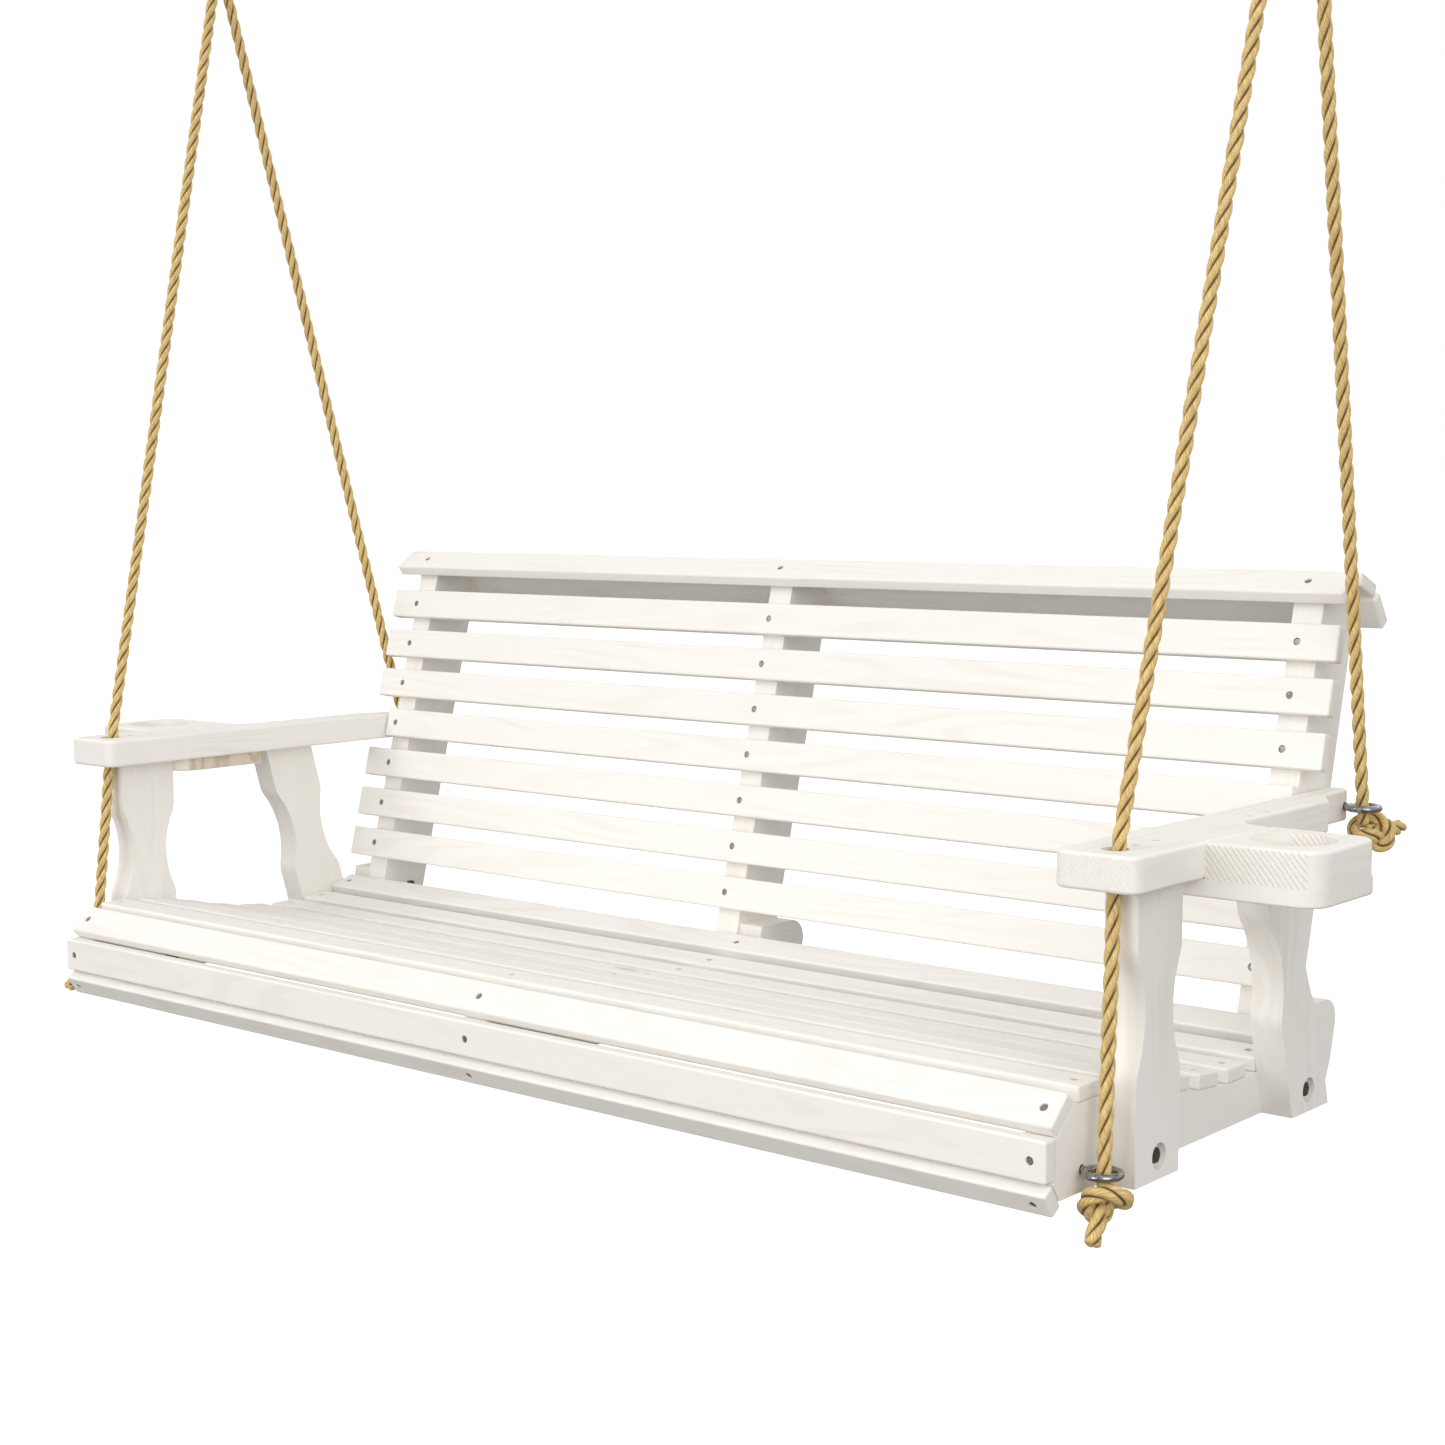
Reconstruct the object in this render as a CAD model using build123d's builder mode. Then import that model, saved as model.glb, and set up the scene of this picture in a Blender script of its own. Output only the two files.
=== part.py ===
from build123d import *
from math import cos, pi, radians, sin, tan
import os

os.makedirs("parts", exist_ok=True)

# A porch swing of sawn boards, hung by two ropes from two ceiling hooks.
# +X runs along the seat, +Y towards the back, +Z up. The origin is on the line through
# the two hooks, midway between them: the swing turns about that line.
#
# Sizes are in millimetres. Heights and depths of the woodwork are counted from the
# arms: y = 0 at the front edge of the arms and z = 0 at their underside. The two
# values below put that corner into the model's frame.
ARM_Y = -303.0
ARM_Z = -1264.0

# The woodwork and the ropes are drawn with the arms level. The empty swing hangs leaning
# back by this many degrees, with its centre of mass straight below the hooks.
HANG_LEAN = 1.91

# ------------------------------------------------------------------ lumber
BOARD = 38.0            # thickness of supports, posts, arms and cup blocks
SLAT = 17.5             # thickness of a slat
SLAT_WIDE = 44.0
EDGE = 3.0              # rounding of the slats' edges
BOARD_EDGE = 4.0        # rounding of the arms' edges

# ------------------------------------------------------------------ places across the swing
SUPPORT_OUT = 815.0                       # outer face of the two end supports
SUPPORT_IN = SUPPORT_OUT - BOARD
POST_IN = SUPPORT_IN - BOARD              # the back posts stand inside the supports
SEAT_HALF = 814.5                         # seat slats end flush with the supports
BACK_HALF = 810.0                         # back slats reach a little past the posts
BESIDE_ARM_HALF = 778.0                   # the back slat that lies level with the arms
ARM_IN = 780.0
ARM_OUT = 877.0
CUP_OUT = 1001.0
HALF_BOARD = BOARD / 2

# Three supports and three posts, named by side, each given by its low X.
SUPPORTS = {"left": -SUPPORT_OUT, "centre": -HALF_BOARD, "right": SUPPORT_IN}
POSTS = {"left": -SUPPORT_IN, "centre": -HALF_BOARD - BOARD, "right": POST_IN}
SIDES = {"left": -1, "right": 1}

# ------------------------------------------------------------------ slats: y, z, tilt
# Each slat is given by the middle of its outer face and by its rise towards the back.
SEAT_SLATS = [
    (23.0, -196.5, 0.0),
    (84.0, -200.7, -7.1),
    (145.0, -211.7, -11.0),
    (207.0, -225.7, -9.7),
    (269.0, -235.2, -5.9),
    (332.0, -239.5, 0.0),
    (394.0, -236.5, 5.2),
    (450.5, -221.2, 17.0),
]
FRONT_SLATS = {
    "upper": (-33.5, -213.5, 43.0, SLAT_WIDE),
    "face": (-58.5, -262.0, 90.0, SLAT_WIDE),
    "lower": (-52.0, -308.0, 123.7, 30.0),
}
TOP_SLATS = {
    "front": (594.0, 282.5, 34.8),
    "middle": (650.0, 285.0, -21.6),
    "rear": (690.2, 250.4, -53.9),
}
BACK_LEAN = 14.67                         # the back leans this far from upright
BACK_SLATS = 7
BACK_PITCH = 64.06
LOWEST_BACK = (470.5, -159.4)             # middle of the lowest back slat's front face
BESIDE_ARM = 4                            # the slat that is shortened, counted from the top

# ------------------------------------------------------------------ posts and supports
POST_DEEP = 84.0
POST_FOOT = -300.0
SUPPORT_FOOT = -305.0
SUPPORT_TOP = -203.0                      # behind the seat
ARM_POST_WIDE = 88.0
FRONT_POST_Y = 46.0
REAR_POST_Y = 306.0
REAR_POST_RAKE = 84.0                     # the rear arm post's foot is this far behind its top
WAIST = 16.0                              # how deep each edge of an arm post is scooped

# ------------------------------------------------------------------ arms and cup holders
ARM_LONG = 618.0
TAIL_OUT = 806.0
CUP_FRONT = 134.0
CUP_BACK = 274.0
PLATE_BACK = 278.0
PLATE_IN = 792.0
PLATE_THICK = 19.0
CUP_CORNER = 28.0
CUP_CENTRE = (939.0, 203.0)
CUP_R = 44.0
ROPE_HOLE = (831.0, 36.6)
ROPE_HOLE_R = 14.0

# ------------------------------------------------------------------ fasteners
SCREW_HEAD_R = 4.2
SCREW_SHANK_R = 2.2
SCREW_LONG = 32.0
ARM_SCREW_LONG = 60.0                     # down through the arm into its post
SCREW_HEAD = 2.4
SCREW_SINK = 4.0                          # depth of the recess that the head sits in
SCREW_RECESS_R = 4.6
FIT = 0.25                                # radial play of a bolt in its hole
BOLT_R = 5.0
BOLT_HEAD_R = 8.5
BOLT_HEAD = 6.0
COUNTERBORE_R = 14.0
COUNTERBORE = 9.0
WASHER_R = 11.0
WASHER = 2.0
NUT_R = 8.5
NUT = 8.0
LAG_LONG = 55.0

# ------------------------------------------------------------------ eye bolts: y, z, ring centre X
EYE_R = 17.5
EYE_WIRE_R = 4.0
EYE_SHANK_R = 4.0
FRONT_EYE = (8.0, -282.0)
FRONT_EYE_X = 839.0
REAR_EYE = (604.0, 18.0)
REAR_EYE_X = 829.5

# ------------------------------------------------------------------ ropes and what holds them
ROPE_R = 8.0
HANG_X = 879.0                            # each hook is this far from the middle
HOOK_WIRE_R = 5.0
HOOK_SIDE = 24.0
HOOK_SHANK = 110.0
THIMBLE_IN = 14.0                         # inner radius of the thimble's crown
THIMBLE_WALL = 2.0
THIMBLE_PLAY = 0.4
THIMBLE_ARC = 236.0


# ================================================================== planes
def side_plane(x):
    """Upright plane across the seat at x: its own axes are y and z of the woodwork."""
    return Plane(origin=(x, ARM_Y, ARM_Z), x_dir=(0, 1, 0), z_dir=(1, 0, 0))


def level_plane(z):
    """Level plane at height z of the woodwork, with X and y as its own axes."""
    return Plane(origin=(0, ARM_Y, ARM_Z + z), x_dir=(1, 0, 0), z_dir=(0, 0, 1))


def slat_plane(y, z, tilt):
    """Plane on a slat's outer face, with its own Z pointing out of the face."""
    turn = radians(tilt)
    return Plane(
        origin=(0, ARM_Y + y, ARM_Z + z),
        x_dir=(1, 0, 0),
        z_dir=(0, -sin(turn), cos(turn)),
    )


def hidden_corners(y, z, tilt, width=SLAT_WIDE):
    """Front and rear corner (y, z) of the face by which a slat lies on its support."""
    turn = radians(tilt)
    along = Vector(cos(turn), sin(turn))
    middle = Vector(y, z) - Vector(-sin(turn), cos(turn)) * SLAT
    front = middle - along * (width / 2)
    rear = middle + along * (width / 2)
    return (front.X, front.Y), (rear.X, rear.Y)


def back_slat(number):
    """Middle (y, z) and tilt of a back slat, counted from the top."""
    up = (BACK_SLATS - number) * BACK_PITCH
    lean = radians(BACK_LEAN)
    y, z = LOWEST_BACK
    return y + up * sin(lean), z + up * cos(lean), 90 - BACK_LEAN


def post_front(z):
    """y of the back posts' front face at height z."""
    lean = radians(BACK_LEAN)
    y, foot = LOWEST_BACK
    return y + SLAT / cos(lean) + (z - foot) * tan(lean)


def post_rear(z):
    return post_front(z) + POST_DEEP / cos(radians(BACK_LEAN))


def keep(piece, name, lean=HANG_LEAN):
    """Labels a finished piece and writes it, leaning back as the swing hangs."""
    with BuildPart() as hung:
        add(piece.part.rotate(Axis.X, -lean))
    hung.part.label = name
    export_step(hung.part, f"parts/{name}.step")


# ================================================================== slats
def make_slat(place, half_length, width, screws):
    """A slat with rounded edges and a recess for each screw."""
    with BuildPart(slat_plane(*place)) as slat:
        Box(2 * half_length, width, SLAT, align=(Align.CENTER, Align.CENTER, Align.MAX))
        fillet(slat.edges(), EDGE)
        with Locations(*[(x, 0) for x in screws]):
            CounterBoreHole(SCREW_SHANK_R + FIT, SCREW_RECESS_R, SCREW_SINK, depth=SLAT)
    return slat


SEAT_SCREWS_X = (-SUPPORT_OUT + HALF_BOARD, 0.0, SUPPORT_OUT - HALF_BOARD)
BACK_SCREWS_X = (-POST_IN - HALF_BOARD, -BOARD, POST_IN + HALF_BOARD)

for number, place in enumerate(SEAT_SLATS[:-1], start=1):
    keep(make_slat(place, SEAT_HALF, SLAT_WIDE, SEAT_SCREWS_X), f"seat_slat_{number}")

# The rearmost seat slat is sawn off parallel to the back posts, 2 mm in front of them.
POST_GAP = 2.0
rearmost = make_slat(SEAT_SLATS[-1], SEAT_HALF, SLAT_WIDE, SEAT_SCREWS_X)
post_face = slat_plane(post_front(SUPPORT_TOP) - POST_GAP, SUPPORT_TOP, 90 - BACK_LEAN)
with BuildPart() as seat_slat_8:
    add(rearmost.part)
    split(bisect_by=post_face, keep=Keep.TOP)
keep(seat_slat_8, "seat_slat_8")

for name, (y, z, tilt, width) in FRONT_SLATS.items():
    keep(make_slat((y, z, tilt), SEAT_HALF, width, SEAT_SCREWS_X), f"front_slat_{name}")

for name, place in TOP_SLATS.items():
    keep(make_slat(place, BACK_HALF, SLAT_WIDE, BACK_SCREWS_X), f"top_slat_{name}")

for number in range(1, BACK_SLATS + 1):
    half_length = BESIDE_ARM_HALF if number == BESIDE_ARM else BACK_HALF
    keep(
        make_slat(back_slat(number), half_length, SLAT_WIDE, BACK_SCREWS_X),
        f"back_slat_{number}",
    )


# ================================================================== seat supports
# The top edge is a row of flats, one under each slat, from the front roll to the rear.
roll = []
for name in ("lower", "face", "upper"):
    front, rear = hidden_corners(*FRONT_SLATS[name])
    roll += [front, rear]
# roll[0] is the lowest slat's upper corner, because that slat faces downwards.
lower_top, lower_foot = roll[1], roll[0]
foot_share = (lower_top[1] - SUPPORT_FOOT) / (lower_top[1] - lower_foot[1])
front_foot = (lower_top[0] + foot_share * (lower_foot[0] - lower_top[0]), SUPPORT_FOOT)

seat_line = []
for place in SEAT_SLATS:
    seat_line += hidden_corners(*place)

SUPPORT_CORNER = (581.0, SUPPORT_TOP)
SUPPORT_HEEL = (562.0, -275.0)
SUPPORT_HEEL_FOOT = (548.0, SUPPORT_FOOT)
REAR_CORNER = 26.0
support_outline = [
    front_foot,
    lower_top,
    roll[2],
    roll[3],
    roll[4],
    roll[5],
    *seat_line,
    (post_front(SUPPORT_TOP) + SLAT / 4, SUPPORT_TOP),
    SUPPORT_CORNER,
    SUPPORT_HEEL,
    SUPPORT_HEEL_FOOT,
]


def bore_x(y, z, radius, low_x, length):
    """Cuts a round hole along X into the piece being built."""
    with BuildSketch(side_plane(low_x)) as hole:
        with Locations((y, z)):
            Circle(radius)
    extrude(hole.sketch, amount=length, mode=Mode.SUBTRACT)


FRONT_BOLT = (94.0, -281.0)
REAR_BOLT = (428.0, -280.0)

for name, low_x in SUPPORTS.items():
    with BuildPart() as support:
        with BuildSketch(side_plane(low_x)) as outline:
            with BuildLine():
                Polyline(*support_outline, close=True)
            make_face()
            fillet(outline.vertices().sort_by_distance(SUPPORT_CORNER)[0], REAR_CORNER)
        extrude(amount=BOARD)
        if name != "centre":
            bore_x(*FRONT_BOLT, BOLT_R + FIT, low_x, BOARD)
            bore_x(*REAR_BOLT, BOLT_R + FIT, low_x, BOARD)
            bore_x(*FRONT_EYE, BOLT_R + FIT, low_x, BOARD)
    keep(support, f"seat_support_{name}")


# ================================================================== back posts
# The head carries the three slats of the rolled top on three flats.
cap_front, cap_rear = hidden_corners(*TOP_SLATS["front"])
middle_front, middle_rear = hidden_corners(*TOP_SLATS["middle"])
rear_front, rear_rear = hidden_corners(*TOP_SLATS["rear"])
cap_rise = tan(radians(TOP_SLATS["front"][2]))
lean_run = tan(radians(BACK_LEAN))
head_z = (cap_front[1] + cap_rise * (post_front(cap_front[1]) - cap_front[0])
          / (1 - cap_rise * lean_run))
HEAD_RISE = 3.0                           # the rear edge starts this far above the last flat's end
HEAD_FOOT = rear_rear[1] + HEAD_RISE
post_outline = [
    (post_front(POST_FOOT), POST_FOOT),
    (post_front(head_z), head_z),
    cap_rear,
    middle_front,
    middle_rear,
    rear_front,
    rear_rear,
    (post_rear(HEAD_FOOT), HEAD_FOOT),
    (post_rear(POST_FOOT), POST_FOOT),
]

for name, low_x in POSTS.items():
    with BuildPart() as post:
        with BuildSketch(side_plane(low_x)):
            with BuildLine():
                Polyline(*post_outline, close=True)
            make_face()
        extrude(amount=BOARD)
        if name != "centre":
            bore_x(*REAR_EYE, BOLT_R + FIT, low_x, BOARD)
    keep(post, f"back_post_{name}")


# ================================================================== arm posts
SCOOP_TOP = -72.0
SCOOP_FOOT = -192.0
SCOOP_SOFTEN = 40.0


def arm_post_outline(front_y, rake):
    """Hourglass outline: two upright or raked edges, each with a shallow scoop."""
    def edge(z, offset=0.0):
        return (front_y + offset - rake * z / -SUPPORT_FOOT, z)

    middle = (SCOOP_TOP + SCOOP_FOOT) / 2
    Line(edge(0), edge(SCOOP_TOP))
    ThreePointArc(edge(SCOOP_TOP), edge(middle, WAIST), edge(SCOOP_FOOT))
    Line(edge(SCOOP_FOOT), edge(SUPPORT_FOOT))
    Line(edge(SUPPORT_FOOT), edge(SUPPORT_FOOT, ARM_POST_WIDE))
    Line(edge(SUPPORT_FOOT, ARM_POST_WIDE), edge(SCOOP_FOOT, ARM_POST_WIDE))
    ThreePointArc(
        edge(SCOOP_FOOT, ARM_POST_WIDE),
        edge(middle, ARM_POST_WIDE - WAIST),
        edge(SCOOP_TOP, ARM_POST_WIDE),
    )
    Line(edge(SCOOP_TOP, ARM_POST_WIDE), edge(0, ARM_POST_WIDE))
    Line(edge(0, ARM_POST_WIDE), edge(0))


def make_arm_post(sign, front_y, rake, bolt):
    low_x = SUPPORT_OUT if sign > 0 else -SUPPORT_OUT - BOARD
    with BuildPart() as post:
        with BuildSketch(side_plane(low_x)) as outline:
            with BuildLine():
                arm_post_outline(front_y, rake)
            make_face()
            scoop_ends = [
                corner for corner in outline.vertices()
                if SUPPORT_FOOT + 1 < corner.Y < -1
            ]
            fillet(scoop_ends, SCOOP_SOFTEN)
        extrude(amount=BOARD)
        bore_x(*bolt, BOLT_R + FIT, low_x, BOARD)
        bore_x(*bolt, COUNTERBORE_R, low_x + BOARD if sign > 0 else low_x, -sign * COUNTERBORE)
    return post


for side, sign in SIDES.items():
    keep(make_arm_post(sign, FRONT_POST_Y, 0.0, FRONT_BOLT), f"arm_post_front_{side}")
    keep(make_arm_post(sign, REAR_POST_Y, REAR_POST_RAKE, REAR_BOLT), f"arm_post_rear_{side}")


# ================================================================== arms
FRONT_CORNER = 15.0
TAIL_CORNER = 12.0
COVE_START = 272.0                        # behind the cup holder the arm narrows in a cove
COVE_MIDDLE = (846.0, 284.0)
COVE_END = 317.0
STRAIGHT_END = 505.0
TAPER_END = 555.0
NARROW_OUT = 833.0
ARM_SCREW_X = 834.0
ARM_SCREWS_Y = (72.0, 112.0)
REAR_ARM_SCREW_X = 824.0
REAR_ARM_SCREWS_Y = (330.0, 370.0)
ARM_SCREWS = (
    [(ARM_SCREW_X, y) for y in ARM_SCREWS_Y]
    + [(REAR_ARM_SCREW_X, y) for y in REAR_ARM_SCREWS_Y]
)


def make_arm(sign):
    """Right or left arm: wide in front, narrow behind the cup holder, thin at the tail."""
    with BuildPart() as arm:
        with BuildSketch(level_plane(0)) as outline:
            with BuildLine():
                Polyline(
                    (sign * NARROW_OUT, COVE_END),
                    (sign * NARROW_OUT, STRAIGHT_END),
                    (sign * TAIL_OUT, TAPER_END),
                    (sign * TAIL_OUT, ARM_LONG),
                    (sign * ARM_IN, ARM_LONG),
                    (sign * ARM_IN, 0),
                    (sign * ARM_OUT, 0),
                    (sign * ARM_OUT, COVE_START),
                )
                ThreePointArc(
                    (sign * ARM_OUT, COVE_START),
                    (sign * COVE_MIDDLE[0], COVE_MIDDLE[1]),
                    (sign * NARROW_OUT, COVE_END),
                )
            make_face()
            fillet(outline.vertices().group_by(Axis.Y)[0], FRONT_CORNER)
            fillet(outline.vertices().group_by(Axis.Y)[-1], TAIL_CORNER)
        extrude(amount=BOARD)
        fillet(arm.faces().filter_by(Axis.Z).edges(), BOARD_EDGE)
        with BuildSketch(level_plane(0)):
            with Locations((sign * ROPE_HOLE[0], ROPE_HOLE[1])):
                Circle(ROPE_HOLE_R)
        extrude(amount=BOARD, mode=Mode.SUBTRACT)
        low_x = ARM_IN if sign > 0 else -TAIL_OUT
        bore_x(*REAR_EYE, BOLT_R + FIT, low_x, TAIL_OUT - ARM_IN)
        with Locations(*[(sign * x, ARM_Y + y, ARM_Z + BOARD) for x, y in ARM_SCREWS]):
            CounterBoreHole(SCREW_SHANK_R + FIT, SCREW_RECESS_R, SCREW_SINK, depth=BOARD)
    return arm


PLATE_SCREWS = ((862.0, 160.0), (862.0, 250.0), (980.0, 162.0), (980.0, 246.0))

for side, sign in SIDES.items():
    keep(make_arm(sign), f"arm_{side}")

    with BuildPart() as cup_block:
        with BuildSketch(level_plane(0)) as outline:
            with Locations((sign * (ARM_OUT + CUP_OUT) / 2, (CUP_FRONT + CUP_BACK) / 2)):
                Rectangle(CUP_OUT - ARM_OUT, CUP_BACK - CUP_FRONT)
            fillet(outline.vertices().sort_by(Axis.X, reverse=sign > 0)[:2], CUP_CORNER)
        extrude(amount=BOARD)
        fillet(cup_block.faces().sort_by(Axis.Z)[-1].edges(), BOARD_EDGE)
        with BuildSketch(level_plane(0)):
            with Locations((sign * CUP_CENTRE[0], CUP_CENTRE[1])):
                Circle(CUP_R)
        extrude(amount=BOARD, mode=Mode.SUBTRACT)
    keep(cup_block, f"cup_block_{side}")

    with BuildPart() as cup_plate:
        with BuildSketch(level_plane(-PLATE_THICK)) as outline:
            with Locations((sign * (PLATE_IN + CUP_OUT) / 2, (CUP_FRONT + PLATE_BACK) / 2)):
                Rectangle(CUP_OUT - PLATE_IN, PLATE_BACK - CUP_FRONT)
            fillet(outline.vertices().sort_by(Axis.X, reverse=sign > 0)[:2], CUP_CORNER)
            inner = outline.vertices().sort_by(Axis.X, reverse=sign < 0)[:2]
            fillet(inner.sort_by(Axis.Y)[0], CUP_CORNER)
        extrude(amount=PLATE_THICK)
        fillet(cup_plate.faces().sort_by(Axis.Z)[0].edges(), EDGE)
        with BuildSketch(level_plane(-PLATE_THICK)):
            with Locations(*[(sign * x, y) for x, y in PLATE_SCREWS]):
                Circle(SCREW_SHANK_R + FIT)
        extrude(amount=PLATE_THICK, mode=Mode.SUBTRACT)
        with BuildSketch(level_plane(-PLATE_THICK)):
            with Locations(*[(sign * x, y) for x, y in PLATE_SCREWS]):
                Circle(SCREW_RECESS_R)
        extrude(amount=SCREW_SINK, mode=Mode.SUBTRACT)
    keep(cup_plate, f"cup_plate_{side}")


# ================================================================== wood screws
def make_screw(length):
    """A screw pointing down, with the wood's surface at z = 0 and its head sunk below it."""
    with BuildPart() as screw:
        with BuildSketch(Plane.XY.offset(-SCREW_SINK)):
            Circle(SCREW_HEAD_R)
        extrude(amount=SCREW_HEAD)
        fillet(screw.faces().sort_by(Axis.Z)[-1].edges(), SCREW_HEAD / 3)
        with BuildSketch(Plane.XY.offset(-SCREW_SINK)):
            Circle(SCREW_SHANK_R)
        extrude(amount=-length)
    return screw.part


def screws_in(places, xs):
    """Locations of the screws of a row of slats."""
    return [
        slat_plane(*place[:3]).location * Location((x, 0, 0)) for place in places for x in xs
    ]


screw = make_screw(SCREW_LONG)
long_screw = make_screw(ARM_SCREW_LONG)
seat_places = SEAT_SLATS + list(FRONT_SLATS.values())
back_places = list(TOP_SLATS.values()) + [back_slat(n) for n in range(1, BACK_SLATS + 1)]

with BuildPart() as seat_screws:
    with Locations(*screws_in(seat_places, SEAT_SCREWS_X)):
        add(screw)
keep(seat_screws, "seat_screws")

with BuildPart() as back_screws:
    with Locations(*screws_in(back_places, BACK_SCREWS_X)):
        add(screw)
keep(back_screws, "back_screws")

from_above = [
    Location((sign * x, ARM_Y + y, ARM_Z + BOARD)) for sign in SIDES.values() for x, y in ARM_SCREWS
]
from_below = [
    Location((sign * x, ARM_Y + y, ARM_Z - PLATE_THICK), (180, 0, 0))
    for sign in SIDES.values() for x, y in PLATE_SCREWS
]

with BuildPart() as arm_screws:
    with Locations(*from_above):
        add(long_screw)
    with Locations(*from_below):
        add(screw)
keep(arm_screws, "arm_screws")


# ================================================================== bolts along X
def rod(y, z, radius, low_x, high_x, sign=1):
    """A round bar along X, mirrored to the left side when sign is -1."""
    start = low_x if sign > 0 else -high_x
    with BuildSketch(side_plane(start)) as section:
        with Locations((y, z)):
            Circle(radius)
    extrude(section.sketch, amount=high_x - low_x)


def hexagon(y, z, radius, low_x, high_x, sign=1):
    start = low_x if sign > 0 else -high_x
    with BuildSketch(side_plane(start)) as section:
        with Locations((y, z)):
            RegularPolygon(radius, 6)
    extrude(section.sketch, amount=high_x - low_x)


BOLT_END = 4.0                            # a bolt stands this far out of its nut
nut_face = SUPPORT_IN - WASHER - NUT
head_seat = SUPPORT_OUT + BOARD - COUNTERBORE

with BuildPart() as post_bolts:
    for sign in SIDES.values():
        for y, z in (FRONT_BOLT, REAR_BOLT):
            rod(y, z, BOLT_R, nut_face - BOLT_END, head_seat, sign)
            hexagon(y, z, BOLT_HEAD_R, head_seat, head_seat + BOLT_HEAD, sign)
keep(post_bolts, "post_bolts")


# ================================================================== eye bolts
def make_eye_bolt(sign, y, z, ring_x, end_x):
    with BuildPart() as eye_bolt:
        with Locations((sign * ring_x, ARM_Y + y, ARM_Z + z)):
            Torus(EYE_R, EYE_WIRE_R)
        # the shank runs into the middle of the ring's wire
        rod(y, z, EYE_SHANK_R, end_x, ring_x - EYE_R, sign)
    return eye_bolt


rear_nut_face = POST_IN - WASHER - NUT
for side, sign in SIDES.items():
    keep(
        make_eye_bolt(sign, *FRONT_EYE, FRONT_EYE_X, nut_face - BOLT_END),
        f"eye_bolt_front_{side}",
    )
    keep(
        make_eye_bolt(sign, *REAR_EYE, REAR_EYE_X, rear_nut_face - BOLT_END),
        f"eye_bolt_rear_{side}",
    )


# Every nutted bolt: y, z, the wood's inner face and the shank's radius.
NUTTED = [
    (*FRONT_BOLT, SUPPORT_IN, BOLT_R),
    (*REAR_BOLT, SUPPORT_IN, BOLT_R),
    (*FRONT_EYE, SUPPORT_IN, EYE_SHANK_R),
    (*REAR_EYE, POST_IN, EYE_SHANK_R),
]


def ring(y, z, radius, hole_r, low_x, high_x, sign):
    """A washer along X."""
    rod(y, z, radius, low_x, high_x, sign)
    bore_x(y, z, hole_r + FIT / 5, low_x if sign > 0 else -high_x, high_x - low_x)


with BuildPart() as washers:
    for sign in SIDES.values():
        for y, z, face_x, shank_r in NUTTED:
            ring(y, z, WASHER_R, shank_r, face_x - WASHER, face_x, sign)
        # a thick washer between the arm's tail and the back post
        ring(*REAR_EYE, WASHER_R, EYE_SHANK_R, SUPPORT_IN, ARM_IN, sign)
keep(washers, "washers")

with BuildPart() as nuts:
    for sign in SIDES.values():
        for y, z, face_x, shank_r in NUTTED:
            hexagon(y, z, NUT_R, face_x - WASHER - NUT, face_x - WASHER, sign)
            low_x = face_x - WASHER - NUT if sign > 0 else -(face_x - WASHER)
            bore_x(y, z, shank_r + FIT / 5, low_x, NUT)
keep(nuts, "nuts")


# ================================================================== lag screws, posts to supports
LAGS = ((496.0, -262.0), (526.0, -232.0))
LAG_R = 4.0
LAG_HEAD_R = 7.5
LAG_HEAD = 5.5

# Each lag screw's head lies on its post, on the face away from the support.
LAG_HEADS = ((POST_IN, -1), (POSTS["centre"], 1), (POST_IN, 1))

with BuildPart() as lag_screws:
    for head_x, sign in LAG_HEADS:
        for y, z in LAGS:
            hexagon(y, z, LAG_HEAD_R, head_x - LAG_HEAD, head_x, sign)
            rod(y, z, LAG_R, head_x, head_x + LAG_LONG, sign)
keep(lag_screws, "lag_screws")


# ================================================================== hooks and thimbles
SHANK_TIP = 12.0
HOOK_PATH = [
    (0.0, HOOK_SHANK - SHANK_TIP),
    (0.0, 52.0),
    (HOOK_SIDE, 38.0),
    (HOOK_SIDE, 0.0),
    (-HOOK_SIDE, 0.0),
    (-HOOK_SIDE, 26.0),
]
HOOK_BENDS = (14.0, 12.0, 11.0, 11.0)
SHANK_TAPER = 20.0

for side, sign in SIDES.items():
    with BuildPart() as hook:
        with BuildLine() as wire:
            FilletPolyline(
                *[(sign * (HANG_X + x), 0, z) for x, z in HOOK_PATH],
                radius=list(HOOK_BENDS),
            )
        with BuildSketch(Plane(origin=wire.line @ 0, z_dir=wire.line % 0)):
            Circle(HOOK_WIRE_R)
        sweep()
        with BuildSketch(Plane.XY.offset(HOOK_SHANK - SHANK_TIP)):
            with Locations((sign * HANG_X, 0)):
                Circle(HOOK_WIRE_R)
        extrude(amount=SHANK_TIP, taper=SHANK_TAPER)
    keep(hook, f"ceiling_hook_{side}", lean=0)

# The thimble's crown is a channel turned about an axis along X, below the hook's wire.
CROWN_Z = HOOK_WIRE_R + THIMBLE_PLAY - THIMBLE_IN
CHANNEL_HALF = ROPE_R + THIMBLE_PLAY + THIMBLE_WALL
FLANGE = THIMBLE_IN + THIMBLE_WALL + ROPE_R

channel = [
    (-CHANNEL_HALF, THIMBLE_IN),
    (CHANNEL_HALF, THIMBLE_IN),
    (CHANNEL_HALF, FLANGE),
    (CHANNEL_HALF - THIMBLE_WALL, FLANGE),
    (CHANNEL_HALF - THIMBLE_WALL, THIMBLE_IN + THIMBLE_WALL),
    (-CHANNEL_HALF + THIMBLE_WALL, THIMBLE_IN + THIMBLE_WALL),
    (-CHANNEL_HALF + THIMBLE_WALL, FLANGE),
    (-CHANNEL_HALF, FLANGE),
]

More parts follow.
